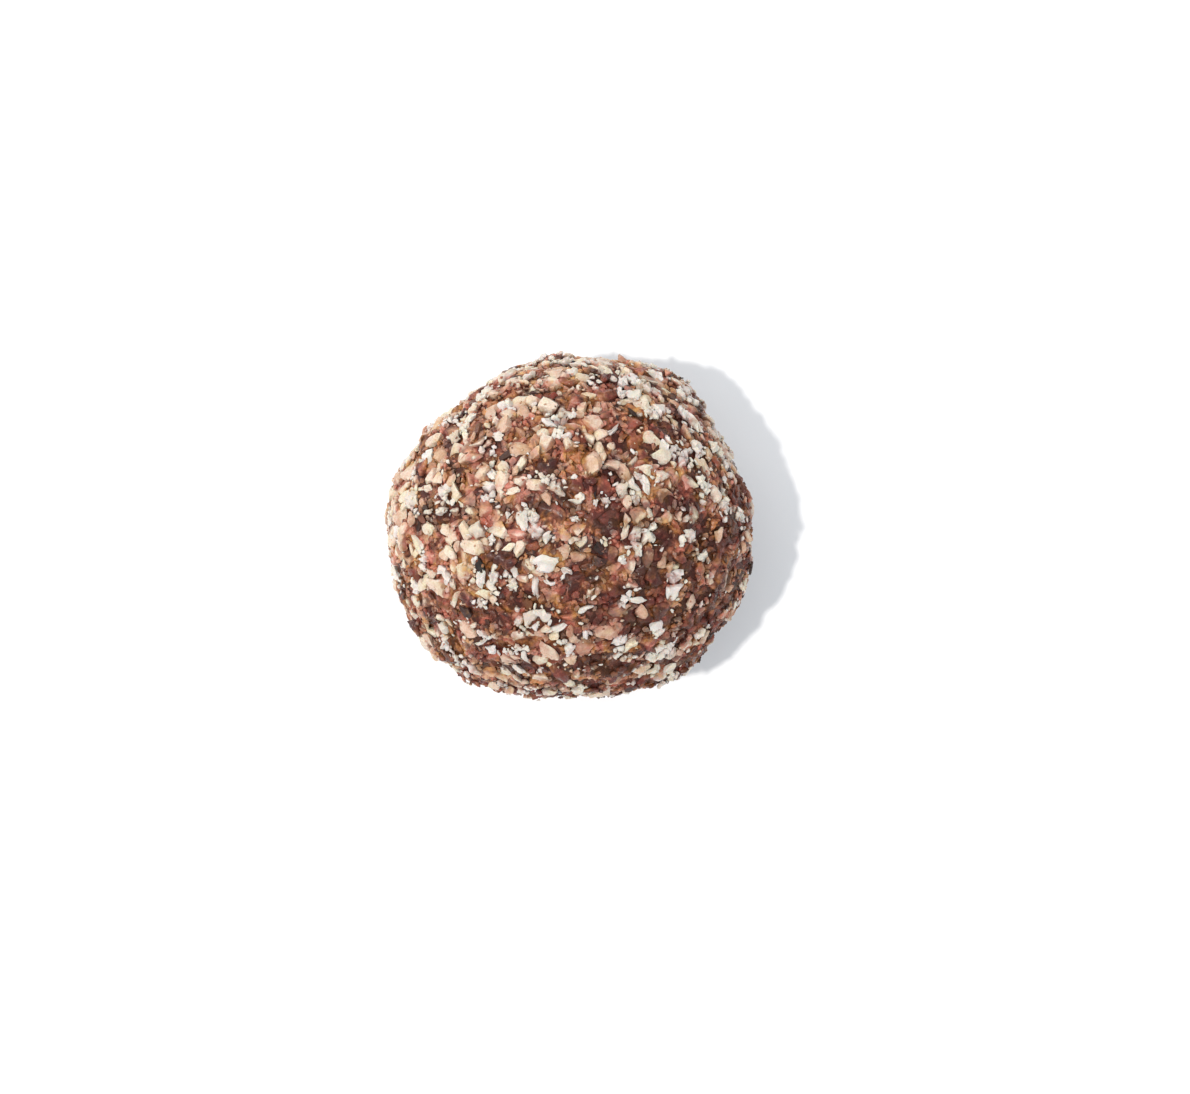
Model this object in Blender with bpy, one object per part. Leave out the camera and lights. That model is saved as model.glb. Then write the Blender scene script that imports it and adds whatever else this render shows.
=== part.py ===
"""An energy ball about 40 mm across: date paste rolled by hand, with chopped nuts, bits of
date and coconut flakes pressed into its surface.

It is one solid, the node "energy_ball". The core is a lumpy ball with a small flat place
to rest on, and the largest pieces that stand out of it are fused on by one Boolean union.
Frame: +Z up, the origin on the floor under the ball's middle, +X along its widest side.
"""

import math

import bmesh
import bpy
import numpy as np
from mathutils import Matrix, Vector

NODE = "energy_ball"
MM = 0.001

# The core's half sizes before its lumps are added, and the flat place that it rests on.
CORE_HALF_X = 19.5 * MM
CORE_HALF_Y = 18.15 * MM
CORE_HALF_Z = 17.95 * MM
REST_RADIUS = 6.0 * MM

# What rolling between two palms leaves: knobs that stand out (+) and places pressed flat (-).
# Azimuth from +X, elevation and reach in degrees, then height.
LUMPS = (
    (57, 6, 9, 1.40 * MM),
    (41, 5, 8, 0.40 * MM),
    (225, -6, 17, 1.15 * MM),
    (240, -6, 10, 0.30 * MM),
    (278, -7, 22, 0.55 * MM),
    (309, -6, 10, 1.60 * MM),
    (337, -3, 12, 1.10 * MM),
    (0, 0, 12, 0.25 * MM),
    (196, -3, 10, -0.20 * MM),
    (130, 6, 15, -1.15 * MM),
    (152, 4, 9, -0.70 * MM),
    (25, 4, 11, -0.35 * MM),
    (95, 62, 24, -0.40 * MM),
    (250, 44, 17, 0.35 * MM),
    (10, 48, 16, 0.30 * MM),
    (170, 50, 18, 0.35 * MM),
    (80, -35, 20, 0.40 * MM),
    (350, -42, 18, -0.35 * MM),
)

# The uneven surface between the pieces: plane waves that run every way, in two sizes,
# the soft paste and the crumbs in it. Count, length and height.
WAVES = (
    (40, 7.0 * MM, 0.15 * MM),
    (60, 3.6 * MM, 0.16 * MM),
)
CORE_CUTS = 10  # cuts in each edge of the 20-sided ball that the core starts as

# The pieces. Lengths and heights are ranges, width and thickness are shares of the length,
# and tilt is the most that a piece leans out of the surface, in degrees.
DATE = {
    "count": 50,
    "length": (2.0 * MM, 4.0 * MM),
    "width": (0.60, 0.90),
    "thickness": (0.34, 0.46),
    "stands_out": (0.28 * MM, 0.45 * MM),
    "tilt": 10,
}
NUT = {
    "count": 150,
    "length": (1.7 * MM, 3.4 * MM),
    "width": (0.52, 0.92),
    "thickness": (0.40, 0.60),
    "stands_out": (0.35 * MM, 0.65 * MM),
    "tilt": 18,
}
COCONUT = {
    "count": 70,
    "length": (1.5 * MM, 2.8 * MM),
    "width": (0.45, 0.85),
    "thickness": (0.26, 0.34),
    "stands_out": (0.30 * MM, 0.50 * MM),
    "tilt": 16,
}
SMALL_ONES = 1.7  # the power of the length draw: above 1, most pieces of a kind are short
NUT_CORNERS = 9
NUT_UNEVENNESS = 0.16  # how far its corners stray from an even spread, 1 being its half size
DATE_DENTS = (0.86, 1.10)  # how far in and out its surface goes, 1 being its half size
FLAKE_RIM_POINTS = 6
FLAKE_RIM = (0.70, 1.12)  # how far its rim points reach, 1 being its half size
FLAKE_TOP = 0.86  # the width of its top as a share of its base
SPACING = 0.46  # least distance between two pieces, as a share of their lengths added up
FLOOR_GAP = 0.25 * MM  # the pieces round the rest stay this far above the floor
PLACES = 3000  # places on the ball that a piece may take
SEED = 45

BALL_COLOUR = (0.34, 0.21, 0.15, 1.0)
BALL_ROUGHNESS = 0.5
SHARP_ANGLE = 30  # degrees between two faces, from which their edge is shaded sharp


def clear_scene():
    for obj in list(bpy.data.objects):
        bpy.data.objects.remove(obj)


def new_collection(name):
    collection = bpy.data.collections.new(name)
    bpy.context.scene.collection.children.link(collection)
    return collection


def new_object(name, bm, collection):
    """An object of the mesh in bm, whose faces are turned outwards."""
    bmesh.ops.recalc_face_normals(bm, faces=bm.faces[:])
    mesh = bpy.data.meshes.new(name)
    bm.to_mesh(mesh)
    bm.free()
    obj = bpy.data.objects.new(name, mesh)
    collection.objects.link(obj)
    return obj


def ball_material():
    material = bpy.data.materials.new("date_and_nut_paste")
    material.use_nodes = True
    shader = material.node_tree.nodes["Principled BSDF"]
    shader.inputs["Base Color"].default_value = BALL_COLOUR
    shader.inputs["Roughness"].default_value = BALL_ROUGHNESS
    shader.inputs["Metallic"].default_value = 0.0
    return material


def direction(azimuth, elevation):
    """The unit vector of an azimuth and an elevation in degrees."""
    a, e = math.radians(azimuth), math.radians(elevation)
    return np.array([math.cos(a) * math.cos(e), math.sin(a) * math.cos(e), math.sin(e)])


def even_directions(draw, count):
    """Unit vectors spread evenly over a ball along a spiral, in a drawn order."""
    step = np.arange(count) + 0.5
    height = 1 - 2 * step / count
    turn = math.pi * (1 + math.sqrt(5)) * step
    ring = np.sqrt(1 - height**2)
    aim = np.stack([np.cos(turn) * ring, np.sin(turn) * ring, height], axis=1)
    return aim[draw.permutation(count)]


def core_points(aim):
    """The points where the unit vectors aim, drawn from the core's centre, leave its surface.

    The radius is the ellipsoid's, plus each lump as a Gaussian of the angle from its own
    direction, plus the waves. The centre is so high that the floor would cut the ellipsoid
    in a circle of REST_RADIUS, and what is under the floor is pressed up onto it.
    """
    draw = np.random.default_rng(SEED)
    half = np.array([CORE_HALF_X, CORE_HALF_Y, CORE_HALF_Z])
    radius = 1 / np.linalg.norm(aim / half, axis=1)
    for azimuth, elevation, reach, height in LUMPS:
        turned_away = 1 - aim @ direction(azimuth, elevation)
        radius += height * np.exp(-turned_away / math.radians(reach) ** 2)
    smooth = aim * radius[:, None]
    for count, length, height in WAVES:
        along = even_directions(draw, count) * 2 * math.pi / length
        phase = draw.uniform(0, 2 * math.pi, count)
        radius += height * math.sqrt(2 / count) * np.sin(smooth @ along.T + phase).sum(axis=1)
    centre_height = CORE_HALF_Z * math.sqrt(1 - (REST_RADIUS / CORE_HALF_X) ** 2)
    points = aim * radius[:, None] + [0, 0, centre_height]
    points[:, 2] = np.maximum(points[:, 2], 0)
    return points


def make_core(collection):
    """The ball without its pieces: a 20-sided ball, cut finer and moved onto the surface."""
    bm = bmesh.new()
    bmesh.ops.create_icosphere(bm, subdivisions=1, radius=1)
    bmesh.ops.subdivide_edges(bm, edges=bm.edges[:], cuts=CORE_CUTS, use_grid_fill=True)
    aim = np.array([vert.co.normalized() for vert in bm.verts])
    for vert, point in zip(bm.verts, core_points(aim)):
        vert.co = point
    return new_object(NODE, bm, collection)


def nut_chip(draw, bm):
    """A chopped nut: the hull of a few points on a ball, with flat faces and sharp edges."""
    corners = even_directions(draw, NUT_CORNERS)
    corners += draw.normal(scale=NUT_UNEVENNESS, size=corners.shape)
    corners /= np.linalg.norm(corners, axis=1, keepdims=True)
    verts = [bm.verts.new(corner) for corner in corners]
    bmesh.ops.convex_hull(bm, input=verts)


def date_bit(draw, bm):
    """A soft bit of date: a 20-sided ball, pushed in and out a little."""
    bmesh.ops.create_icosphere(bm, subdivisions=1, radius=1)
    for vert in bm.verts:
        vert.co *= draw.uniform(*DATE_DENTS)


def coconut_flake(draw, bm):
    """A flake: a low disc, narrower on top, whose rim wanders in and out."""
    rim = FLAKE_RIM_POINTS
    bmesh.ops.create_cone(
        bm, cap_ends=True, segments=rim, radius1=1, radius2=FLAKE_TOP, depth=2
    )
    reach = draw.uniform(*FLAKE_RIM, rim)
    for vert in bm.verts:
        turn = math.atan2(vert.co.y, vert.co.x) / (2 * math.pi)
        out = reach[round(turn * rim) % rim]
        vert.co.x *= out
        vert.co.y *= out


def drawn_pieces(draw, kind):
    """The pieces of a kind: length, width, thickness, height out of the core, tilt and turn."""
    count = kind["count"]
    shortest, longest = kind["length"]
    length = shortest + (longest - shortest) * draw.uniform(size=count) ** SMALL_ONES
    width = length * draw.uniform(*kind["width"], count)
    thickness = length * draw.uniform(*kind["thickness"], count)
    stands_out = draw.uniform(*kind["stands_out"], count)
    tilt = kind["tilt"] * draw.uniform(-1, 1, count)
    turn = draw.uniform(0, 360, count)
    return list(zip(length, width, thickness, stands_out, tilt, turn))


def laid_out(draw):
    """(shape, sizes, point, outward) of every piece.

    The longest come first, and each takes the first place that is free for it.
    """
    wanted = [
        (shape, sizes)
        for shape, kind in ((date_bit, DATE), (nut_chip, NUT), (coconut_flake, COCONUT))
        for sizes in drawn_pieces(draw, kind)
    ]
    wanted.sort(key=lambda piece: -piece[1][0])
    aims = even_directions(draw, PLACES)
    grounds = core_points(aims)
    room = np.where(grounds[:, 2] > FLOOR_GAP, np.inf, 0)  # to the nearest piece's edge
    found = []
    for shape, sizes in wanted:
        reach = SPACING * sizes[0]
        free = np.flatnonzero(room >= reach)
        if len(free):
            at = grounds[free[0]]
            found.append((shape, sizes, Vector(at), Vector(aims[free[0]])))
            room = np.minimum(room, np.linalg.norm(grounds - at, axis=1) - reach)
    return found


def make_piece(draw, shape, sizes, at, outward, collection):
    """One piece, laid on the core at a point, turned, tilted and sunk in."""
    length, width, thickness, stands_out, tilt, turn = sizes
    bm = bmesh.new()
    shape(draw, bm)
    place = (
        Matrix.Translation(at + outward * (stands_out - thickness / 2))
        @ outward.to_track_quat("Z", "Y").to_matrix().to_4x4()
        @ Matrix.Rotation(math.radians(turn), 4, "Z")
        @ Matrix.Rotation(math.radians(tilt), 4, "X")
        @ Matrix.Diagonal((length / 2, width / 2, thickness / 2, 1))
    )
    bmesh.ops.transform(bm, matrix=place, verts=bm.verts[:])
    for vert in bm.verts:
        vert.co.z = max(vert.co.z, FLOOR_GAP)
    new_object("piece", bm, collection)


def keep_outer_shell(mesh):
    """Drops hollows and scraps that the union has sealed off, by keeping the largest shell."""
    bm = bmesh.new()
    bm.from_mesh(mesh)
    left = set(bm.verts)
    shells = []
    while left:
        shell = {left.pop()}
        edge_of_shell = list(shell)
        while edge_of_shell:
            vert = edge_of_shell.pop()
            near = {edge.other_vert(vert) for edge in vert.link_edges} - shell
            shell |= near
            edge_of_shell.extend(near)
        left -= shell
        shells.append(shell)
    largest = max(shells, key=len)
    dropped = [vert for shell in shells if shell is not largest for vert in shell]
    bmesh.ops.delete(bm, geom=dropped, context="VERTS")
    bm.to_mesh(mesh)
    bm.free()


def fuse(ball, pieces):
    """Joins the pieces to the ball by one union, and removes them."""
    union = ball.modifiers.new("fuse_pieces", "BOOLEAN")
    union.operation = "UNION"
    union.operand_type = "COLLECTION"
    union.collection = pieces
    union.solver = "EXACT"
    graph = bpy.context.evaluated_depsgraph_get()
    fused = bpy.data.meshes.new_from_object(ball.evaluated_get(graph))
    ball.modifiers.remove(union)
    ball.data = fused
    fused.name = NODE
    for piece in list(pieces.objects):
        bpy.data.objects.remove(piece)
    bpy.data.collections.remove(pieces)
    keep_outer_shell(fused)


def stand_on_origin(ball):
    """Moves the mesh so that the middle of its box lies over the origin."""
    points = np.array([vert.co for vert in ball.data.vertices])
    middle = (points.min(axis=0) + points.max(axis=0)) / 2
    ball.data.transform(Matrix.Translation((-middle[0], -middle[1], 0)))


def main():
    clear_scene()
    model = new_collection(NODE)
    pieces = new_collection("pieces")
    ball = make_core(model)
    draw = np.random.default_rng(SEED)
    for shape, sizes, at, outward in laid_out(draw):
        make_piece(draw, shape, sizes, at, outward, pieces)
    fuse(ball, pieces)
    stand_on_origin(ball)
    ball.data.materials.append(ball_material())
    ball.data.set_sharp_from_angle(angle=math.radians(SHARP_ANGLE))


main()
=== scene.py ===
import math

import bpy
import numpy as np
from mathutils.bvhtree import BVHTree
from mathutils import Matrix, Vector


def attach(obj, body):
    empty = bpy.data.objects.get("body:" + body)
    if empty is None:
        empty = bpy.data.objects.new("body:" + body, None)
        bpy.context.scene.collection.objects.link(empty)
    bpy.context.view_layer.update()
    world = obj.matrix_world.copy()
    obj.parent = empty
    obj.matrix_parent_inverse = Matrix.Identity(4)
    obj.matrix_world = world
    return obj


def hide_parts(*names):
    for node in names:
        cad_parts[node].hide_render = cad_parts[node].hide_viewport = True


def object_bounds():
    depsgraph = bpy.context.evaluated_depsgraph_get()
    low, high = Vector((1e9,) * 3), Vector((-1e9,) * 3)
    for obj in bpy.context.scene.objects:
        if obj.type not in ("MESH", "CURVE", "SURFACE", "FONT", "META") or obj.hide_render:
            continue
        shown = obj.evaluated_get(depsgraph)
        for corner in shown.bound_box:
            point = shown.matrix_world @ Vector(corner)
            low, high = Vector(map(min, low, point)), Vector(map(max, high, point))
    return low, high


mm = 0.001
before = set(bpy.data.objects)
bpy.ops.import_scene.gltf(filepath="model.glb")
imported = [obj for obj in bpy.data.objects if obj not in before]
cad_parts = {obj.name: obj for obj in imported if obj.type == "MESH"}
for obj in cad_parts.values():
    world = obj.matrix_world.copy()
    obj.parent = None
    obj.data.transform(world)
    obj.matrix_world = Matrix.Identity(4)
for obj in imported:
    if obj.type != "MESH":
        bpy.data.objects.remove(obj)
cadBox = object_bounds()
print("frame loaded")


# the unit vector of an azimuth and an elevation in degrees
def direction(azimuth, elevation):
    a = math.radians(azimuth)
    e = math.radians(elevation)
    return np.array([math.cos(a) * math.cos(e), math.sin(a) * math.cos(e), math.sin(e)])


# unit vectors spread evenly over a ball: point k of n lies at height 1 - 2k/n, a golden turn
# further round than the last, and they come in a drawn order
def evenDirections(draw, count):
    step = np.arange(count) + 0.5
    height = 1 - 2 * step / count
    turn = math.pi * (1 + math.sqrt(5)) * step
    ring = np.sqrt(1 - height**2)
    aims = np.stack([np.cos(turn) * ring, np.sin(turn) * ring, height], axis=1)
    return aims[draw.permutation(count)]


# a sum of plane waves that run every way, about 1 high; points in metres, one number for each
def waveField(points, length, count, draw):
    along = evenDirections(draw, count) * 2 * math.pi / length
    phase = draw.uniform(0, 2 * math.pi, count)
    return math.sqrt(2 / count) * np.sin(points @ along.T + phase).sum(axis=1)


# 0 below low, 1 above high, and an S curve between them
def smoothStep(values, low, high):
    share = np.clip((values - low) / (high - low), 0, 1)
    return share * share * (3 - 2 * share)


# the rolled ball, whose form every piece follows
ball = {
    "halfSizes": (19.5 * mm, 18.15 * mm, 17.95 * mm),
    "restRadius": 6 * mm,
    # azimuth, elevation, reach in degrees, height
    "lumps": (
        (57, 6, 9, 1.40 * mm),
        (41, 5, 8, 0.40 * mm),
        (225, -6, 17, 1.15 * mm),
        (240, -6, 10, 0.30 * mm),
        (278, -7, 22, 0.55 * mm),
        (309, -6, 10, 1.60 * mm),
        (337, -3, 12, 1.10 * mm),
        (0, 0, 12, 0.25 * mm),
        (196, -3, 10, -0.20 * mm),
        (130, 6, 15, -1.15 * mm),
        (152, 4, 9, -0.70 * mm),
        (25, 4, 11, -0.35 * mm),
        (95, 62, 24, -0.40 * mm),
        (250, 44, 17, 0.35 * mm),
        (10, 48, 16, 0.30 * mm),
        (170, 50, 18, 0.35 * mm),
        (80, -35, 20, 0.40 * mm),
        (350, -42, 18, -0.35 * mm),
    ),
    # count, length and height of the waves of the uneven surface
    "waves": ((40, 7.0 * mm, 0.15 * mm), (60, 3.6 * mm, 0.16 * mm)),
    "seed": 45,  # of the waves and of the largest pieces
}


# where unit vectors from the ball's centre leave it: the ellipsoid's radius, a Gaussian for
# each lump and the waves; what would be under the floor is pressed up onto it
def ballSurface(aims):
    draw = np.random.default_rng(ball["seed"])
    half = np.array(ball["halfSizes"])
    radius = 1 / np.linalg.norm(aims / half, axis=1)
    for azimuth, elevation, reach, height in ball["lumps"]:
        turnedAway = 1 - aims @ direction(azimuth, elevation)
        radius += height * np.exp(-turnedAway / math.radians(reach) ** 2)
    smooth = aims * radius[:, None]
    for count, length, height in ball["waves"]:
        radius += height * waveField(smooth, length, count, draw)
    centreHeight = half[2] * math.sqrt(1 - (ball["restRadius"] / half[0]) ** 2)
    points = aims * radius[:, None] + [0, 0, centreHeight]
    points[:, 2] = np.maximum(points[:, 2], 0)
    return points


# where the ball is mostly date paste (above 0) and where mostly nuts (below 0): patches in
# two sizes, and more paste towards the side turned from the lights, which is partly paste
# that lies there and partly painted shade, as dark kinds gather there and light ones keep off
pastePatches = {
    "waves": ((30, 8.0 * mm, 0.45), (30, 3.6 * mm, 0.85)),  # count, length and weight
    # the side turned from the lights gets more paste: partly real, partly painted shade
    "morePasteAndShadeTowards": (-40, 1.10),  # azimuth in degrees and weight
    "seed": 743,
}


def pasteAndShadeField(aims, points):
    draw = np.random.default_rng(pastePatches["seed"])
    azimuth, weight = pastePatches["morePasteAndShadeTowards"]
    # more paste, and so painted shade, towards the side turned from the lights
    field = weight * aims @ direction(azimuth, 0)
    for count, length, weight in pastePatches["waves"]:
        field += weight * waveField(points, length, count, draw)
    return field


# one mesh piece of the ball from arrays, with a number for each point under each name
def addPiece(name, points, faces, finish, numbers, sharpFrom):
    mesh = bpy.data.meshes.new(name)
    mesh.from_pydata(points.astype(np.float32), [], faces)
    for label, values in numbers.items():
        layer = mesh.attributes.new(label, "FLOAT", "POINT")
        layer.data.foreach_set("value", values.astype(np.float32))
    mesh.polygons.foreach_set("use_smooth", np.full(len(mesh.polygons), sharpFrom > 0))
    mesh.materials.append(finish)
    mesh.update()
    if 0 < sharpFrom < 180:
        mesh.set_sharp_from_angle(angle=math.radians(sharpFrom))
    piece = bpy.data.objects.new(name, mesh)
    bpy.context.scene.collection.objects.link(piece)
    return piece


# a unit ball of six square patches: on each, u and v run over 90 degrees, and the point is
# (1, tan u, tan v) turned to that side and brought to length 1; the shared rims are merged
def patchBall(squares):
    angle = np.linspace(-math.pi / 4, math.pi / 4, squares + 1)
    u, v = np.meshgrid(np.tan(angle), np.tan(angle), indexing="ij")
    patch = np.stack([np.ones_like(u), u, v], axis=-1).reshape(-1, 3)
    mirrored = -patch[:, [0, 2, 1]]
    sides = [np.roll(side, k, axis=1) for side in (patch, mirrored) for k in range(3)]
    points = np.concatenate(sides)
    points /= np.linalg.norm(points, axis=1, keepdims=True)
    row, column = np.meshgrid(np.arange(squares), np.arange(squares), indexing="ij")
    corner = (row * (squares + 1) + column).ravel()
    quads = np.stack([corner, corner + squares + 1, corner + squares + 2, corner + 1], axis=1)
    quads = np.concatenate([quads + k * len(patch) for k in range(6)])
    keys = np.round(points * 1e6).astype(np.int64)
    first, same = np.unique(keys, axis=0, return_index=True, return_inverse=True)[1:]
    return points[first], same.ravel()[quads]


# rings of points between two poles: u runs round, from the upper pole's ring to the lower's;
# returns u of the ring points, and the triangles of the closed shape
def poledGrid(segments, rings):
    u = np.tile(np.arange(segments) * 2 * math.pi / segments, rings)
    j = np.arange(segments)
    after = (j + 1) % segments
    last = 1 + (rings - 1) * segments
    top = np.stack([np.zeros_like(j), 1 + j, 1 + after], axis=1)
    bottom = np.stack([np.full_like(j, 1 + rings * segments), last + after, last + j], axis=1)
    faces = [top, bottom]
    for ring in range(rings - 1):
        upper = 1 + ring * segments
        lower = upper + segments
        faces.append(np.stack([upper + j, lower + j, lower + after], axis=1))
        faces.append(np.stack([upper + j, lower + after, upper + after], axis=1))
    return u, np.concatenate(faces)


# each shape moved and stretched until it reaches from -1 to 1 along every axis
def toHalfSizeOne(points):
    low = points.min(axis=1, keepdims=True)
    high = points.max(axis=1, keepdims=True)
    return (2 * points - low - high) / (high - low)


# how far the side flattened by the palms leans from level
palmLean = 0.30


# broken bits: for each of a few flat cuts in turn, the points of a unit ball that lie beyond
# it are pressed back onto it, the first cut being the side flattened by the palms; then each
# point p is moved out to p times 1 + lobes * (three sines of plane waves), and strays a little
def brokenShapes(draw, count, look):
    aims, faces = patchBall(look["squares"])
    points = np.repeat(aims[None], count, axis=0)
    cuts = draw.normal(size=(look["cuts"], count, 3))
    cuts[0] = [0, 0, 1] + draw.normal(scale=palmLean, size=(count, 3))
    cuts /= np.linalg.norm(cuts, axis=2, keepdims=True)
    depths = draw.uniform(*look["cutDepth"], (look["cuts"], count, 1))
    for cut, depth in zip(cuts, depths):
        over = np.maximum(np.einsum("cpx,cx->cp", points, cut) - depth, 0)
        points -= over[:, :, None] * cut[:, None]
    waves = draw.normal(scale=look["lobeTurns"], size=(count, 3, 3))
    phases = draw.uniform(0, 2 * math.pi, (count, 1, 3))
    swing = np.sin(np.einsum("cpx,ckx->cpk", points, waves) + phases).sum(axis=2)
    points *= 1 + look["lobes"] * swing[:, :, None]
    points += draw.normal(scale=look["stray"], size=points.shape)
    return toHalfSizeOne(points), faces


# a flat bit's swings are this share of the whole "lobes"
lobeShare = (0.3, 1.0)
# about the mean of x squared over a plate, so that its bend doesn't lift it
meanSquare = 0.3


# flat bits: the rim is the superellipse |x|^p + |y|^p = 1, whose reach is then swung by sines
# of 2 to 6 times u and by a step in or out at each point; the profile (reach, height) runs
# over it from the middle of the top to the bottom's; waves in height run over the plate,
# which bends by the square of x and curls sideways by the same
def flatShapes(draw, count, look):
    segments = look["segments"]
    profile = np.array(look["profile"])
    u, faces = poledGrid(segments, len(profile))
    turn = u[:segments]
    power = look["bluntness"]
    square = (np.abs(np.cos(turn)) ** power + np.abs(np.sin(turn)) ** power) ** (-1 / power)
    reach = np.repeat(square[None], count, axis=0)
    for k in range(2, 7):
        swing = draw.uniform(*lobeShare, (count, 1)) * look["lobes"] / k
        reach += swing * np.sin(k * turn + draw.uniform(0, 2 * math.pi, (count, 1)))
    reach += draw.uniform(-look["ragged"], look["ragged"], reach.shape)
    reach = np.tile(reach, len(profile)) * np.repeat(profile[:, 0], segments)
    points = np.zeros((count, len(u) + 2, 3))
    points[:, 1:-1, 0] = reach * np.cos(u)
    points[:, 1:-1, 1] = reach * np.sin(u)
    points[:, 1:-1, 2] = np.repeat(profile[:, 1], segments)
    points[:, 0, 2] = profile[0, 1]
    points[:, -1, 2] = profile[-1, 1]
    x, y = points[:, None, :, 0], points[:, None, :, 1]
    shape = (3, count, 4, 1)  # three numbers for each of four waves
    alongX, alongY, phase = draw.normal(scale=look["waveTurns"], size=shape)
    waves = np.sin(alongX * x + alongY * y + phase).sum(axis=1)
    points[:, :, 2] += look["waveHeight"] * waves
    points[:, :, 2] += draw.uniform(-look["stray"], look["stray"], points.shape[:2])
    offMiddle = points[:, :, 0] ** 2 - meanSquare
    points[:, :, 2] += draw.uniform(*look["bend"], (count, 1)) * offMiddle
    points[:, :, 1] += draw.uniform(-look["curl"], look["curl"], (count, 1)) * offMiddle
    points[:, :, :2] = toHalfSizeOne(points[:, :, :2])
    return points, faces


# The pieces. Lengths and heights are ranges; width and thickness are shares of the length;
# tilt is the most that a piece leans. "largest" is the part that the frame also has, and
# "more" what the scene adds. The paste liking says how much a kind is drawn to the paste,
# and so also to the side turned from the lights, where dark kinds gather as painted shade;
# "clustering" says how much to its own clusters. Edges from "sharpFrom" degrees on look
# sharp: 0 is a faceted piece, and 180 a wholly smooth one.
dateBits = {
    "largest": {
        "count": 50,
        "length": (2.0 * mm, 4.0 * mm),
        "width": (0.60, 0.90),
        "thickness": (0.34, 0.46),
        "standsOut": (0.28 * mm, 0.45 * mm),
        "tilt": 10,
    },
    "more": {
        "count": 420,
        "length": (1.0 * mm, 3.0 * mm),
        "width": (0.50, 0.95),
        "thickness": (0.34, 0.50),
        "standsOut": (0.02 * mm, 0.26 * mm),
        "tilt": 14,
    },
    "shape": flatShapes,
    "segments": 14,
    "profile": ((0.62, 0.72), (1.0, 0.12), (0.85, -0.70)),
    "bluntness": 2.4,
    "lobes": 0.75,
    "ragged": 0.07,
    "waveTurns": 3.6,
    "waveHeight": 0.20,
    "stray": 0.08,
    "bend": (-0.3, 0.3),
    "curl": 0.5,
    "pasteLiking": 1.8,
    "clustering": 0.3,
    "sharpFrom": 180,
}
nutChips = {
    "largest": {
        "count": 150,
        "length": (1.7 * mm, 3.4 * mm),
        "width": (0.52, 0.92),
        "thickness": (0.40, 0.60),
        "standsOut": (0.35 * mm, 0.65 * mm),
        "tilt": 18,
    },
    "more": {
        "count": 620,
        "length": (1.1 * mm, 2.9 * mm),
        "width": (0.50, 0.95),
        "thickness": (0.42, 0.75),
        "standsOut": (0.10 * mm, 0.45 * mm),
        "tilt": 26,
    },
    "shape": brokenShapes,
    "squares": 3,
    "cuts": 8,
    "cutDepth": (0.30, 0.78),
    "lobes": 0.10,
    "lobeTurns": 2.4,
    "stray": 0.03,
    "pasteLiking": -1.0,
    "clustering": 1.0,
    "sharpFrom": 25,
}
coconutFlakes = {
    "largest": {
        "count": 70,
        "length": (1.5 * mm, 2.8 * mm),
        "width": (0.45, 0.85),
        "thickness": (0.26, 0.34),
        "standsOut": (0.30 * mm, 0.50 * mm),
        "tilt": 16,
    },
    "more": {
        "count": 360,
        "length": (0.8 * mm, 2.3 * mm),
        "width": (0.60, 1.0),
        "thickness": (0.30, 0.50),
        "standsOut": (0.18 * mm, 0.42 * mm),
        "tilt": 26,
    },
    "shape": flatShapes,
    "segments": 16,
    "profile": ((0.62, 1.0), (1.0, 0.15), (0.75, -1.0)),
    "bluntness": 2.5,
    "lobes": 0.50,
    "ragged": 0.13,
    "waveTurns": 4.2,
    "waveHeight": 0.26,
    "stray": 0.13,
    "bend": (-0.4, 0.2),
    "curl": 0.5,
    "pasteLiking": -0.4,
    "clustering": 1.3,
    "sharpFrom": 40,
}
coconutShreds = {
    "more": {
        "count": 40,
        "length": (1.6 * mm, 3.4 * mm),
        "width": (0.26, 0.42),
        "thickness": (0.14, 0.22),
        "standsOut": (0.22 * mm, 0.42 * mm),
        "tilt": 12,
    },
    "shape": flatShapes,
    "segments": 16,
    "profile": ((0.62, 1.0), (1.0, 0.15), (0.75, -1.0)),
    "bluntness": 4.0,
    "lobes": 0.55,
    "ragged": 0.24,
    "waveTurns": 4.0,
    "waveHeight": 0.25,
    "stray": 0.18,
    "bend": (-0.6, 0.2),
    "curl": 1.0,
    "pasteLiking": -0.2,
    "clustering": 0.8,
    "sharpFrom": 40,
}
dateFlesh = {
    "more": {
        "count": 230,
        "length": (0.8 * mm, 2.6 * mm),
        "width": (0.45, 0.90),
        "thickness": (0.36, 0.50),
        "standsOut": (0.06 * mm, 0.30 * mm),
        "tilt": 16,
    },
    "shape": flatShapes,
    "segments": 14,
    "profile": ((0.62, 0.72), (1.0, 0.12), (0.85, -0.70)),
    "bluntness": 2.4,
    "lobes": 0.75,
    "ragged": 0.08,
    "waveTurns": 3.4,
    "waveHeight": 0.20,
    "stray": 0.10,
    "bend": (-0.3, 0.3),
    "curl": 0.5,
    "pasteLiking": -0.2,
    "clustering": 1.2,
    "sharpFrom": 180,
}
nutSkins = {
    "more": {
        "count": 180,
        "length": (0.7 * mm, 1.7 * mm),
        "width": (0.35, 0.80),
        "thickness": (0.12, 0.20),
        "standsOut": (0.12 * mm, 0.32 * mm),
        "tilt": 30,
    },
    "shape": flatShapes,
    "segments": 12,
    "profile": ((0.90, 1.0), (0.90, -1.0)),
    "bluntness": 2.6,
    "lobes": 0.50,
    "ragged": 0.16,
    "waveTurns": 3.0,
    "waveHeight": 0.25,
    "stray": 0.20,
    "bend": (-1.6, 1.0),
    "curl": 0.6,
    "pasteLiking": 0.3,
    "clustering": 0.6,
    "sharpFrom": 0,
}
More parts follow.
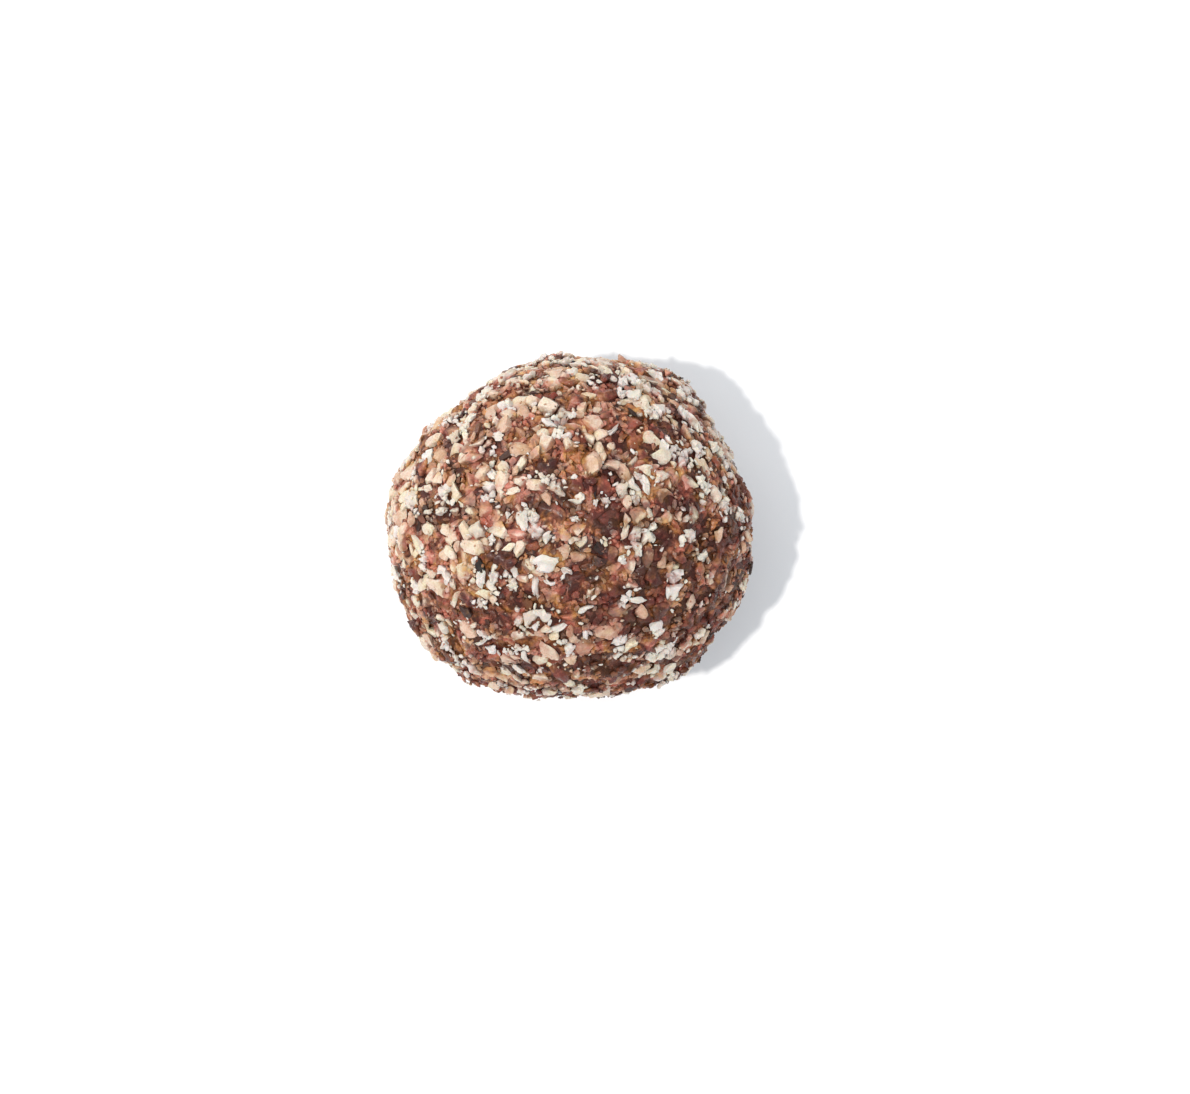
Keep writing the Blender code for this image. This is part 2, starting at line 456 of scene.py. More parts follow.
nutCrumbs = {
    "more": {
        "count": 2600,
        "length": (0.40 * mm, 1.25 * mm),
        "width": (0.50, 0.95),
        "thickness": (0.50, 0.90),
        "standsOut": (0.02 * mm, 0.26 * mm),
        "tilt": 40,
    },
    "shape": brokenShapes,
    "squares": 2,
    "cuts": 6,
    "cutDepth": (0.25, 0.75),
    "lobes": 0.12,
    "lobeTurns": 1.8,
    "stray": 0.08,
    "pasteLiking": -0.7,
    "clustering": 0.6,
    "sharpFrom": 0,
}
coconutCrumbs = {
    "more": {
        "count": 1000,
        "length": (0.36 * mm, 1.00 * mm),
        "width": (0.35, 0.90),
        "thickness": (0.35, 0.70),
        "standsOut": (0.12 * mm, 0.42 * mm),
        "tilt": 45,
    },
    "shape": brokenShapes,
    "squares": 2,
    "cuts": 4,
    "cutDepth": (0.40, 0.85),
    "lobes": 0.12,
    "lobeTurns": 1.8,
    "stray": 0.13,
    "pasteLiking": -0.1,
    "clustering": 0.3,
    "near": "coconutFlakes",
    "sharpFrom": 0,
}
# meal finer than the crumbs, which sticks on top of everything else
nutMeal = {
    "more": {
        "count": 1500,
        "length": (0.18 * mm, 0.46 * mm),
        "width": (0.60, 1.0),
        "thickness": (0.60, 1.0),
        "standsOut": (0.03 * mm, 0.12 * mm),
        "tilt": 60,
    },
    "shape": brokenShapes,
    "squares": 1,
    "cuts": 1,
    "cutDepth": (0.60, 0.90),
    "lobes": 0.10,
    "lobeTurns": 1.2,
    "stray": 0.15,
    "pasteLiking": 0.1,
    "clustering": 0.3,
    "sharpFrom": 0,
}
kinds = {
    "dateBits": dateBits,
    "nutChips": nutChips,
    "coconutFlakes": coconutFlakes,
    "coconutShreds": coconutShreds,
    "dateFlesh": dateFlesh,
    "nutSkins": nutSkins,
    "nutCrumbs": nutCrumbs,
    "coconutCrumbs": coconutCrumbs,
    "nutMeal": nutMeal,
}
packing = {
    "largestPlaces": 3000,
    "largestSpacing": 0.46,  # least distance apart as a share of the two lengths added up
    "places": 60000,
    "spacing": 0.33,
    "crumbKinds": ("nutCrumbs", "coconutCrumbs"),  # laid after the other kinds
    "smallOnes": 1.7,  # the power of the length draw: above 1, most of a kind are short
    "patchSize": 4.6 * mm,  # how far it is from one cluster of a kind to the next
    "patchWaves": 24,
    "nearReach": 0.8 * mm,  # how close a "near" kind keeps to its neighbours
    "nearLiking": 3.4,  # and how much it likes to
    "floorGap": 0.25 * mm,
    "mealPlaces": 2,  # places for each bit of meal, which takes those it likes most
    "seed": 57,
}


# length, width, thickness, height out of the ball, tilt and turn of each piece, a row each
def drawnRows(draw, sizes):
    count = sizes["count"]
    shortest, longest = sizes["length"]
    length = shortest + (longest - shortest) * draw.uniform(size=count) ** packing["smallOnes"]
    width = length * draw.uniform(*sizes["width"], count)
    thickness = length * draw.uniform(*sizes["thickness"], count)
    standsOut = draw.uniform(*sizes["standsOut"], count)
    tilt = sizes["tilt"] * draw.uniform(-1, 1, count)
    turn = draw.uniform(0, 360, count)
    return np.stack([length, width, thickness, standsOut, tilt, turn], axis=1)


# how far each place is from the nearest of some points
def farFrom(grounds, points):
    gap = np.full(len(grounds), np.inf)
    for point in points:
        away = grounds - point
        gap = np.minimum(gap, np.einsum("ij,ij->i", away, away))
    return np.sqrt(gap)


# the places in the order in which a kind takes them: best is what it likes most
def placeOrder(draw, kind, grounds, field, laid):
    # dark kinds are drawn to, and light kinds kept from, the paste and the side painted darker
    # as shade
    liking = kind["pasteLiking"] * field + draw.normal(size=len(grounds))
    liking += kind["clustering"] * waveField(
        grounds, packing["patchSize"], packing["patchWaves"], draw
    )
    if "near" in kind:
        gap = farFrom(grounds, laid["at"][laid["kind"] == kind["near"]])
        liking += packing["nearLiking"] * np.exp(-gap / packing["nearReach"])
    return np.argsort(-liking)


# lays pieces from the longest on: each takes the first free place in its kind's order; room
# is how far each place is from the nearest piece's edge, and shrinks with every piece laid
def fillPlaces(rowsOf, orders, aims, grounds, room, spacing):
    rows = np.concatenate(list(rowsOf.values()))
    kindOf = np.repeat(list(rowsOf), [len(part) for part in rowsOf.values()])
    taken = np.full(len(rows), -1)
    for piece in np.argsort(-rows[:, 0], kind="stable"):
        reach = spacing * rows[piece, 0]
        order = orders[kindOf[piece]]
        first = order[(room[order] >= reach).argmax()]
        if room[first] >= reach:
            taken[piece] = first
            away = grounds - grounds[first]
            np.minimum(room, np.sqrt(np.einsum("ij,ij->i", away, away)) - reach, out=room)
    found = taken >= 0
    place = taken[found]
    return {
        "rows": rows[found],
        "kind": kindOf[found],
        "at": grounds[place],
        "outward": aims[place],
    }


# two sets of laid pieces as one
def addedUp(first, second):
    return {label: np.concatenate([first[label], second[label]]) for label in first}


# all pieces but the meal: the largest are drawn as in the frame, the other kinds fill what
# these leave free, and the crumbs what is then still free
def layOut():
    gap = packing["floorGap"]
    draw = np.random.default_rng(ball["seed"])
    names = [name for name in kinds if "largest" in kinds[name]]
    rowsOf = {name: drawnRows(draw, kinds[name]["largest"]) for name in names}
    aims = evenDirections(draw, packing["largestPlaces"])
    grounds = ballSurface(aims)
    room = np.where(grounds[:, 2] > gap, np.inf, 0)
    orders = dict.fromkeys(names, np.arange(len(grounds)))
    laid = fillPlaces(rowsOf, orders, aims, grounds, room, packing["largestSpacing"])
    print("largest pieces laid:", len(laid["rows"]))

    draw = np.random.default_rng(packing["seed"])
    aims = evenDirections(draw, packing["places"])
    grounds = ballSurface(aims)
    field = pasteAndShadeField(aims, grounds)
    room = np.where(grounds[:, 2] > gap, np.inf, 0)
    for point, length in zip(laid["at"], laid["rows"][:, 0]):
        away = np.linalg.norm(grounds - point, axis=1)
        room = np.minimum(room, away - packing["spacing"] * length)
    crumbKinds = packing["crumbKinds"]
    otherKinds = [name for name in kinds if name not in crumbKinds and name != "nutMeal"]
    for names in (otherKinds, crumbKinds):
        rowsOf = {name: drawnRows(draw, kinds[name]["more"]) for name in names}
        orders = {
            name: placeOrder(draw, kinds[name], grounds, field, laid) for name in names
        }
        more = fillPlaces(rowsOf, orders, aims, grounds, room, packing["spacing"])
        laid = addedUp(laid, more)
        print("more pieces laid:", len(more["rows"]))
    return laid


# the meal's places: the outermost point of the pieces made so far along each direction
def layMeal(made):
    draw = np.random.default_rng(packing["seed"] + 2)
    points = np.concatenate([part[0] for part in made])
    starts = np.cumsum([0] + [len(part[0]) for part in made[:-1]])
    faces = [row for part, start in zip(made, starts) for row in (part[1] + start).tolist()]
    tree = BVHTree.FromPolygons(points.tolist(), faces)
    rows = drawnRows(draw, nutMeal["more"])
    aims = evenDirections(draw, packing["mealPlaces"] * len(rows))
    grounds = ballSurface(aims)
    field = pasteAndShadeField(aims, grounds)
    aims = aims[placeOrder(draw, nutMeal, grounds, field, None)][: len(rows)]
    middle = np.array([0, 0, ball["halfSizes"][2]])
    outside = (middle + aims * 2 * ball["halfSizes"][0]).tolist()
    hits = [tree.ray_cast(start, -aim)[0] for start, aim in zip(outside, aims)]
    hits = np.array([tuple(hit) if hit else (0, 0, 0) for hit in hits])
    kept = hits[:, 2] > packing["floorGap"]
    return {
        "rows": rows[kept],
        "kind": np.repeat("nutMeal", kept.sum()),
        "at": hits[kept],
        "outward": aims[kept],
    }


# shapes of half size 1 stretched to their rows' sizes, turned, leant and set into the ball:
# local z points outward, x runs level round the ball before the turn
def setIn(shapes, rows, at, outward):
    length, width, thickness, standsOut = rows[:, :4].T
    tilt, turn = np.radians(rows[:, 4:]).T
    level = np.cross([0, 0, 1], outward)
    level /= np.linalg.norm(level, axis=1, keepdims=True)
    rise = np.cross(outward, level)
    cosTurn, sinTurn = np.cos(turn)[:, None], np.sin(turn)[:, None]
    cosTilt, sinTilt = np.cos(tilt)[:, None], np.sin(tilt)[:, None]
    alongAxis = level * cosTurn + rise * sinTurn
    across = rise * cosTurn - level * sinTurn
    acrossAxis = across * cosTilt + outward * sinTilt
    outAxis = outward * cosTilt - across * sinTilt
    axes = np.stack([alongAxis, acrossAxis, outAxis], axis=1)
    axes *= (np.stack([length, width, thickness], axis=1) / 2)[:, :, None]
    centre = at + outward * (standsOut - thickness / 2)[:, None]
    points = centre[:, None] + np.einsum("cpk,ckx->cpx", shapes, axes)
    points[:, :, 2] = np.maximum(points[:, :, 2], packing["floorGap"])
    return points


# a shader socket that +, - and * work on, each adding a Math node
class Value:
    def __init__(self, tree, socket=None):
        self.tree = tree
        self.socket = socket

    # adds a node of any kind: its settings, then the numbers or links of its sockets
    def node(self, kind, settings, inputs, output=0):
        made = self.tree.nodes.new(kind)
        for name, setting in settings.items():
            if name == "stops":
                while len(made.color_ramp.elements) < len(setting):
                    made.color_ramp.elements.new(1)
                for element, (position, colour) in zip(made.color_ramp.elements, setting):
                    element.position = position
                    element.color = (*colour, 1)
            else:
                setattr(made, name, setting)
        for name, given in inputs.items():
            if isinstance(given, Value):
                self.tree.links.new(given.socket, made.inputs[name])
            else:
                made.inputs[name].default_value = given
        return Value(self.tree, made.outputs[output])

    def maths(self, operation, first, second):
        return self.node("ShaderNodeMath", {"operation": operation}, {0: first, 1: second})

    def __add__(self, other):
        return self.maths("ADD", self, other)

    def __radd__(self, other):
        return self.maths("ADD", other, self)

    def __sub__(self, other):
        return self.maths("SUBTRACT", self, other)

    def __rsub__(self, other):
        return self.maths("SUBTRACT", other, self)

    def __mul__(self, other):
        return self.maths("MULTIPLY", self, other)

    def __rmul__(self, other):
        return self.maths("MULTIPLY", other, self)

    # the noise pattern at this place, with features of the given size
    def noise(self, size, detail=3.0, distortion=0.0):
        inputs = {"Vector": self, "Scale": 1 / size, "Detail": detail}
        inputs["Distortion"] = distortion
        return self.node("ShaderNodeTexNoise", {}, inputs)

    # 0 at low and under it, 1 at high and over it, an S curve between
    def smooth(self, low, high):
        settings = {"interpolation_type": "SMOOTHSTEP"}
        inputs = {"Value": self, "From Min": low, "From Max": high}
        return self.node("ShaderNodeMapRange", settings, inputs)

    # colour by its value
    def ramp(self, stops):
        return self.node("ShaderNodeValToRGB", {"stops": stops}, {"Fac": self})

    # this colour, and a share of the way to it times another
    def times(self, other, share=1.0):
        settings = {"data_type": "RGBA", "blend_type": "MULTIPLY"}
        return self.node("ShaderNodeMix", settings, {0: share, 6: self, 7: other}, 2)

    # two colours mixed with this as the share of the second
    def blend(self, first, second, how="MIX"):
        settings = {"data_type": "RGBA", "blend_type": how}
        return self.node("ShaderNodeMix", settings, {0: self, 6: first, 7: second}, 2)


# starts a finish: returns the material, its shader, the place on the piece and a function
# that reads a number kept with the mesh
def startFinish(name):
    material = bpy.data.materials.new(name)
    material.use_nodes = True
    tree = material.node_tree
    shader = tree.nodes["Principled BSDF"]
    start = Value(tree)
    place = start.node("ShaderNodeTexCoord", {}, {}, "Object")

    def kept(label):
        return start.node("ShaderNodeAttribute", {"attribute_name": label}, {}, "Fac")

    return material, shader, place, kept


# joins a colour, a roughness and a height in metres to the shader
def joinFinish(shader, colour, roughness, height):
    tree = colour.tree
    sockets = {"Height": height, "Distance": 1.0, "Strength": 1.0}
    bump = height.node("ShaderNodeBump", {}, sockets)
    tree.links.new(colour.socket, shader.inputs["Base Color"])
    tree.links.new(roughness.socket, shader.inputs["Roughness"])
    tree.links.new(bump.socket, shader.inputs["Normal"])


# the mash of date and nut meal: its colour runs from whole date to mostly meal
mash = {
    "colours": (
        (0.36, (0.055, 0.0178, 0.0103)),
        (0.44, (0.120, 0.0376, 0.0197)),
        (0.51, (0.228, 0.0783, 0.0390)),
        (0.58, (0.385, 0.1500, 0.0780)),
        (0.67, (0.500, 0.2520, 0.1480)),
    ),
    # what the colours are multiplied by, from wine red to brown, and how large the patches are
    "tints": (
        (0.38, (1.03, 0.76, 0.96)),
        (0.46, (0.99, 0.96, 1.12)),
        (0.54, (1.0, 1.02, 0.92)),
        (0.63, (1.02, 1.08, 0.62)),
    ),
    "tintSize": 1.7 * mm,
    # size and weight of the patches, from coarse to fine
    "patches": ((2.3 * mm, 0.55), (0.9 * mm, 0.35), (0.4 * mm, 0.25)),
    "detail": 2.0,
    "distortion": 0.6,  # how much the patches are bent and drawn out
    "darkerByPasteAndShade": 0.03,  # how much darker the mash is where there is more paste, and so also painted shade on the side turned from the lights
}


def mashNoise(place, size):
    return place.noise(size, mash["detail"], mash["distortion"])


# a number for each place, from which the mash takes its colour: noises and the field, which
# darkens it where there is more paste and on the side painted darker as shade
def mashValue(place, kept):
    # darker mash where there is more paste, and on the side of painted shade
    value = 0.5 - kept("field") * mash["darkerByPasteAndShade"]
    for size, weight in mash["patches"]:
        value = value + (mashNoise(place, size) - 0.5) * weight
    return value


# what the mash's colour is multiplied by at each place
def mashTint(place):
    return mashNoise(place, mash["tintSize"]).ramp(mash["tints"])


# the mash's colour by its number, tinted in patches
def mashColour(place, value):
    return value.ramp(mash["colours"]).times(mashTint(place))


# the constants of a finish: how much light goes in, how far red, green and blue travel inside
# as shares of the depth, and how strongly the surface mirrors
def setConstants(shader, look):
    shader.inputs["Subsurface Weight"].default_value = look["glow"]
    shader.inputs["Subsurface Radius"].default_value = look["glowReach"]
    shader.inputs["Subsurface Scale"].default_value = look["glowDepth"]
    shader.inputs["Specular IOR Level"].default_value = look["shine"]


# what the finishes of all bits have in common
bitSurface = {
    "speck": (0.22, 0.68),  # the grain is darkest below the first number, gone above the second
    "filmSize": 0.9 * mm,
    "filmEdge": (0.50, 0.92),  # no film below the first number, all of it above the second
    "glossSize": 0.35 * mm,
    "glossEdge": (0.3, 0.7),
    "reliefSize": 3,  # times the grain's size
    "reliefBump": 2,  # times the grain's bump
    "glowReach": (1.0, 0.55, 0.38),
}


# a bit's finish: the tone kept for each bit picks its colour, noise mottles it, a film of
# mash lies on it in patches and thickens towards its foot, partly a real smear of mash and
# partly painted shade where the bit meets the paste
def bitFinish(name, look):
    material, shader, place, kept = startFinish(name)
    look = {**bitSurface, **look}
    mottle = place.noise(look["mottleSize"], detail=4.0) - 0.5
    tone = kept("tone") + mottle * look["mottle"]
    colour = tone.ramp(look["colours"]).times(mashTint(place), look["tinted"])
    grain = place.noise(look["grainSize"])
    speck = grain.smooth(*look["speck"])
    colour = (1 - speck).blend(colour, look["grainColour"], "MULTIPLY")
    film = place.noise(look["filmSize"], distortion=mash["distortion"])
    # towards the foot the film thickens: partly a smear of mash, partly painted shade where the
    # bit meets the paste
    film = film + kept("foot") * look["footFilmAndShade"] + kept("film")
    film = film.smooth(*look["filmEdge"]) * look["film"]
    colour = film.blend(colour, mashColour(place, mashValue(place, kept)))
    low, high = look["roughness"]
    gloss = place.noise(look["glossSize"], detail=2.0).smooth(*look["glossEdge"])
    roughness = low + (high - low) * gloss
    relief = place.noise(look["grainSize"] * look["reliefSize"])
    height = grain * look["bump"] + relief * (look["bump"] * look["reliefBump"])
    joinFinish(shader, colour, roughness, height)
    setConstants(shader, look)
    return material


nutLook = {
    "colours": (
        (0.00, (0.370, 0.195, 0.122)),
        (0.30, (0.510, 0.340, 0.240)),
        (0.60, (0.600, 0.490, 0.375)),
        (1.00, (0.630, 0.580, 0.470)),
    ),
    "tinted": 0.2,
    "mottleSize": 0.8 * mm,
    "mottle": 0.9,
    "grainSize": 0.18 * mm,
    "grainColour": (0.80, 0.70, 0.63, 1),
    "footFilmAndShade": 0.45,
    "film": 0.85,
    "roughness": (0.30, 0.58),
    "shine": 0.35,
    "bump": 0.024 * mm,
    "glow": 0.40,
    "glowDepth": 0.6 * mm,
}
coconutLook = {
    "colours": (
        (0.00, (0.490, 0.400, 0.315)),
        (0.35, (0.572, 0.515, 0.452)),
        (1.00, (0.608, 0.570, 0.528)),
    ),
    "tinted": 0.14,
    "mottleSize": 0.8 * mm,
    "mottle": 0.4,
    "grainSize": 0.14 * mm,
    "grainColour": (0.90, 0.87, 0.84, 1),
    "footFilmAndShade": 0.35,
    "film": 0.75,
    "roughness": (0.38, 0.66),
    "shine": 0.40,
    "bump": 0.020 * mm,
    "glow": 0.35,
    "glowDepth": 0.6 * mm,
}
dateLook = {
    "colours": (
        (0.00, (0.045, 0.0138, 0.0088)),
        (0.40, (0.100, 0.0295, 0.0175)),
        (0.70, (0.182, 0.0540, 0.0300)),
        (1.00, (0.288, 0.0880, 0.0420)),
    ),
    "tinted": 1.0,
    "mottleSize": 1.1 * mm,
    "mottle": 0.7,
    "grainSize": 0.24 * mm,
    "grainColour": (0.80, 0.72, 0.70, 1),
    "footFilmAndShade": 0.3,
    "film": 0.7,
    "roughness": (0.18, 0.46),
    "shine": 0.26,
    "bump": 0.040 * mm,
    "glow": 0.20,
    "glowDepth": 0.6 * mm,
}
fleshLook = {
    "colours": (
        (0.00, (0.165, 0.046, 0.022)),
        (0.50, (0.315, 0.104, 0.047)),
        (1.00, (0.500, 0.232, 0.118)),
    ),
    "tinted": 0.7,
    "mottleSize": 0.9 * mm,
    "mottle": 0.8,
    "grainSize": 0.22 * mm,
    "grainColour": (0.76, 0.62, 0.54, 1),
    "footFilmAndShade": 0.3,
    "film": 0.6,
    "roughness": (0.18, 0.42),
    "shine": 0.40,
    "bump": 0.036 * mm,
    "glow": 0.50,
    "glowDepth": 0.8 * mm,
}
skinLook = {
    "colours": (
        (0.00, (0.012, 0.008, 0.007)),
        (0.35, (0.055, 0.021, 0.014)),
        (1.00, (0.180, 0.066, 0.034)),
    ),
    "tinted": 0.6,
    "mottleSize": 0.7 * mm,
    "mottle": 0.4,
    "grainSize": 0.14 * mm,
    "grainColour": (0.70, 0.60, 0.56, 1),
    "footFilmAndShade": 0.2,
    "film": 0.5,
    "roughness": (0.32, 0.62),
    "shine": 0.30,
    "bump": 0.025 * mm,
    "glow": 0.05,
    "glowDepth": 0.3 * mm,
}


pasteLook = {
    "grainSize": 0.22 * mm,
    "grainColour": (0.82, 0.76, 0.74, 1),
    "speck": (0.3, 0.65),
    # the colour of the painted shade in the creases
    "creaseShadeColour": (0.035, 0.012, 0.008, 1),
    "roughness": (0.20, 0.48),
    "glossSize": 0.5 * mm,
    "glossEdge": (0.3, 0.7),
    "grainBump": 0.03 * mm,
    "reliefSize": 0.6 * mm,
    "reliefBump": 0.12 * mm,
    "shine": 0.16,
    "glow": 0.25,
    "glowReach": (1.0, 0.5, 0.38),
    "glowDepth": 0.6 * mm,
}


# the mash's own finish: each crumb of it has its own tone, and the creases between them are
# painted darker as shade
def pasteFinish():
    look = pasteLook
    material, shader, place, kept = startFinish("stickyDatePaste")
    colour = mashColour(place, mashValue(place, kept) + kept("tone"))
    grain = place.noise(look["grainSize"], detail=4.0)
    speck = grain.smooth(*look["speck"])
    colour = (1 - speck).blend(colour, look["grainColour"], "MULTIPLY")
    # painted shade: the creases between lumps and crumbs are darkened
    colour = kept("crease").blend(colour, look["creaseShadeColour"])
    low, high = look["roughness"]
    gloss = place.noise(look["glossSize"], detail=2.0).smooth(*look["glossEdge"])
    roughness = low + (high - low) * gloss
    height = grain * look["grainBump"] + place.noise(look["reliefSize"]) * look["reliefBump"]
    joinFinish(shader, colour, roughness, height)
    setConstants(shader, look)
    return material


# the paste between the pieces: lumps of date in it, and crumbs in most of the lumps
pasteSurface = {
    "squares": 127,  # along each side of the six patches
    "sunk": 0.16 * mm,
    "lumps": 800,
    "lumpHeight": 0.16 * mm,
    "lumpCrease": (0.15 * mm, 0.50 * mm),  # depth and width
    "crumbs": 7000,
    "crumbHeight": 0.07 * mm,
    "crumbCrease": (0.06 * mm, 0.26 * mm),
    "smoothShare": 0.50,  # of the lumps are bits of whole date
    "crumbsOnSmooth": 0.15,  # how much of the crumbs still shows in these
    "scatter": 0.75,  # how far the middles stray, as a share of 1 / the root of their count
    # count of the waves, size and width of the swings of the outlines
    "wander": (20, 1.7 * mm, 0.30 * mm),
    "fineWave": (40, 0.8 * mm, 0.03 * mm),  # count, length and height
    "smoothTone": -0.10,  # whole date is darker
    "lumpTone": 0.035,  # how much the tone varies from lump to lump
    "crumbTone": 0.05,
    "lumpShade": 0.4,  # how dark the painted shade in the creases is
    "crumbShade": 0.35,
    "seed": 11,
}


# splits the ball in cells round scattered centres; for each direction: its cell, and how near
# it is to the cell's rim, 1 on the rim and 0 further off than the crease's width
def cellsOf(draw, aims, count, creaseWidth):
    centres = evenDirections(draw, count)
    scatter = pasteSurface["scatter"] / math.sqrt(count)
    centres += draw.normal(scale=scatter, size=centres.shape)
    centres /= np.linalg.norm(centres, axis=1, keepdims=True)
    towards = centres.T.astype(np.float32)
    cell = np.empty(len(aims), int)
    margin = np.empty(len(aims))
    block = 4096  # directions looked up at a time
    for start in range(0, len(aims), block):
        cosines = aims[start : start + block].astype(np.float32) @ towards
        rows = np.arange(len(cosines))
        first = cosines.argmax(axis=1)
        closest = np.arccos(np.clip(cosines[rows, first], -1, 1))
        cosines[rows, first] = -1
        second = np.arccos(np.clip(cosines.max(axis=1), -1, 1))
        cell[start : start + block] = first
        margin[start : start + block] = second - closest
    return cell, 1 - smoothStep(margin * ball["halfSizes"][0], 0, creaseWidth)


# the ball's surface sunk a little, with each lump's and each crumb's own height, creases along
# their rims and a fine wave; the cells are looked up along directions that wander, so that
# their outlines do too
def makePasteBall():
    look = pasteSurface
    draw = np.random.default_rng(look["seed"])
    aims, quads = patchBall(look["squares"])
    surface = ballSurface(aims)
    count, length, width = look["wander"]
    swing = [waveField(surface, length, count, draw) for k in range(3)]
    wandering = aims + np.stack(swing, axis=1) * width / ball["halfSizes"][0]
    wandering /= np.linalg.norm(wandering, axis=1, keepdims=True)
    lumpDepth, lumpWidth = look["lumpCrease"]
    crumbDepth, crumbWidth = look["crumbCrease"]
    lump, lumpRim = cellsOf(draw, wandering, look["lumps"], lumpWidth)
    crumb, crumbRim = cellsOf(draw, wandering, look["crumbs"], crumbWidth)
    whole = draw.uniform(size=look["lumps"]) < look["smoothShare"]
    crumbly = np.where(whole[lump], look["crumbsOnSmooth"], 1.0) * (1 - lumpRim)
    rise = draw.uniform(-1, 1, look["lumps"])[lump] * look["lumpHeight"] * (1 - lumpRim)
    rise += draw.uniform(-1, 1, look["crumbs"])[crumb] * look["crumbHeight"] * crumbly
    rise -= lumpDepth * lumpRim + crumbDepth * crumbRim * crumbly + look["sunk"]
    count, length, height = look["fineWave"]
    rise += height * waveField(surface, length, count, draw)
    points = surface + aims * rise[:, None]
    points[:, 2] = np.where(surface[:, 2] <= 0, 0, np.maximum(points[:, 2], 0))
    tone = draw.normal(scale=look["lumpTone"], size=look["lumps"])
    tone = tone[lump] + look["smoothTone"] * whole[lump]
    tone += draw.normal(scale=look["crumbTone"], size=look["crumbs"])[crumb] * crumbly
    # how much painted shade darkens each point near the rims of lumps and crumbs
    crease = np.maximum(look["lumpShade"] * lumpRim, look["crumbShade"] * crumbRim * crumbly)
    numbers = {"tone": tone, "crease": crease, "field": pasteAndShadeField(aims, surface)}
    made = addPiece("pasteBall", points, quads, pasteFinish(), numbers, 180)
    return made, points, quads


finishes = {
    "dateBits": bitFinish("glossyDate", dateLook),
    "nutChips": bitFinish("choppedNut", nutLook),
    "coconutFlakes": bitFinish("driedCoconut", coconutLook),
    "dateFlesh": bitFinish("amberDateFlesh", fleshLook),
    "nutSkins": bitFinish("brownNutSkin", skinLook),
}
finishes["coconutShreds"] = finishes["coconutFlakes"]
finishes["coconutCrumbs"] = finishes["coconutFlakes"]
finishes["nutCrumbs"] = finishes["nutChips"]
finishes["nutMeal"] = finishes["nutChips"]
# how the tones of a kind are spread: the two numbers of a beta draw
toneSpread = {
    "dateBits": (1.2, 2.1),
    "nutChips": (1.6, 1.0),
    "coconutFlakes": (2.2, 1.2),
    "coconutShreds": (2.2, 1.2),
    "dateFlesh": (1.4, 1.4),
    "nutSkins": (1.2, 1.6),
    "nutCrumbs": (1.0, 1.1),
    "coconutCrumbs": (1.8, 1.2),
    "nutMeal": (0.9, 1.0),
}
# how much mash lies on the bits of a kind: the range of what is added to the film's noise
filmSpread = {
    "dateBits": (0.0, 0.35),
    "nutChips": (-0.45, 0.22),
    "coconutFlakes": (-0.35, 0.15),
    "coconutShreds": (-0.35, 0.15),
    "dateFlesh": (-0.10, 0.25),
    "nutSkins": (-0.20, 0.25),
    "nutCrumbs": (0.0, 0.70),
    "coconutCrumbs": (-0.30, 0.20),
    "nutMeal": (-0.10, 0.60),
}


# from this share of a piece's height down to its foot the film of mash and painted shade
# thicken
footTop = 0.85


# all bits of a kind as one piece
def makeBits(name, laid):
    kind = kinds[name]
    mine = laid["kind"] == name
    rows, at, outward = (laid[label][mine] for label in ("rows", "at", "outward"))
    count = len(rows)
    shapes, faces = kind["shape"](shapeDraw, count, kind)
    points = setIn(shapes, rows, at, outward)
    perBit = points.shape[1]
    height = np.einsum("cpx,cx->cp", points - at[:, None], outward)
    # 1 at a bit's foot, where the film and its painted shade are thickest
    foot = np.clip(footTop - height / rows[:, 3:4], 0, 1)
    tones = shapeDraw.beta(*toneSpread[name], count)
    films = shapeDraw.uniform(*filmSpread[name], count)
    numbers = {
        "tone": np.repeat(tones, perBit),
        "film": np.repeat(films, perBit),
        "field": np.repeat(pasteAndShadeField(outward, at), perBit),
        "foot": foot.ravel(),
    }
    points = points.reshape(-1, 3)
    faces = faces[None] + (np.arange(count) * perBit)[:, None, None]
    faces = faces.reshape(-1, faces.shape[2])
    piece = addPiece(name, points, faces, finishes[name], numbers, kind["sharpFrom"])
    print(name, count, "bits,", len(faces) * (faces.shape[1] - 2), "triangles")
    return piece, points, faces


shapeDraw = np.random.default_rng(packing["seed"] + 1)
pasteBall, *pasteMesh = makePasteBall()
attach(pasteBall, "root")
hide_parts("energy_ball")
print("paste ball made")

madePieces = [pasteBall]
madeMeshes = [pasteMesh]
laid = layOut()
for name in kinds:
    if name == "nutMeal":
        laid = layMeal(madeMeshes)
    piece, *mesh = makeBits(name, laid)
    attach(piece, "root")
    madePieces.append(piece)
    madeMeshes.append(mesh)


# the middle of everything goes over the middle of the frame's box
def centreOverFrame(pieces, meshes):
    low = np.min([points.min(axis=0) for points, faces in meshes], axis=0)
    high = np.max([points.max(axis=0) for points, faces in meshes], axis=0)
    shift = (np.array(cadBox[0]) + np.array(cadBox[1]) - low - high) / 2
    shift[2] = 0
    for piece, (points, faces) in zip(pieces, meshes):
        moved = (points + shift).astype(np.float32)
        piece.data.vertices.foreach_set("co", moved.ravel())
        piece.data.update()
    print("moved by", np.round(shift / mm, 3), "mm")


centreOverFrame(madePieces, madeMeshes)

